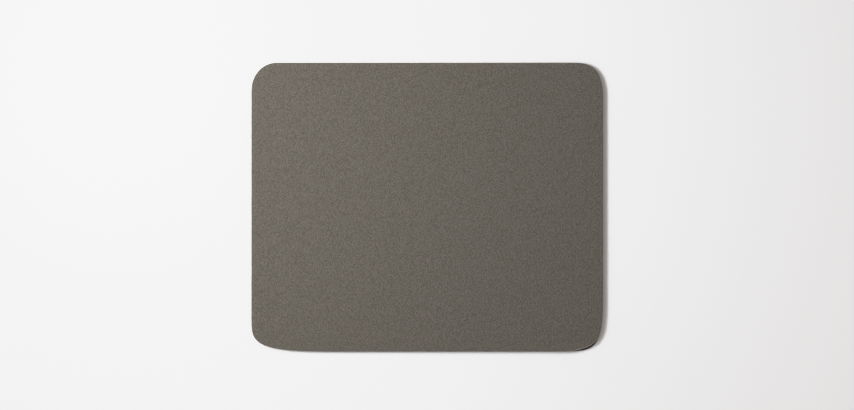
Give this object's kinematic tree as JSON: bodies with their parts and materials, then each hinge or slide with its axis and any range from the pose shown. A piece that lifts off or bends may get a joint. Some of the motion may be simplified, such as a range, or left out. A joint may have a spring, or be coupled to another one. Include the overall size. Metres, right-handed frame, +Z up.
{
  "type": "mouse pad",
  "caption": "Flat mouse pad with rounded corners: knitted cloth bonded to foamed rubber, on a rubber base that grips the desk.",
  "frame": {"origin": "on the desk, under the middle of the pad", "axes": "+X along the long side, to the right of the person using it; +Y away from that person; +Z up, out of the cloth"},
  "size_m": [0.216, 0.1778, 0.003],
  "materials": {
    "grip_rubber": "black solid rubber, embossed",
    "base_adhesive": "smoky hot-melt film",
    "foam_rubber": "black open-cut foam",
    "cloth_adhesive": "milky hot-melt film",
    "knit_cloth": "taupe-grey fine knit, matt"
  },
  "bodies": {
    "root": {"grip_base": "grip_rubber", "base_bond_film": "base_adhesive", "foam_core": "foam_rubber", "cloth_bond_film": "cloth_adhesive", "top_cloth": "knit_cloth"}
  },
  "joints": []
}
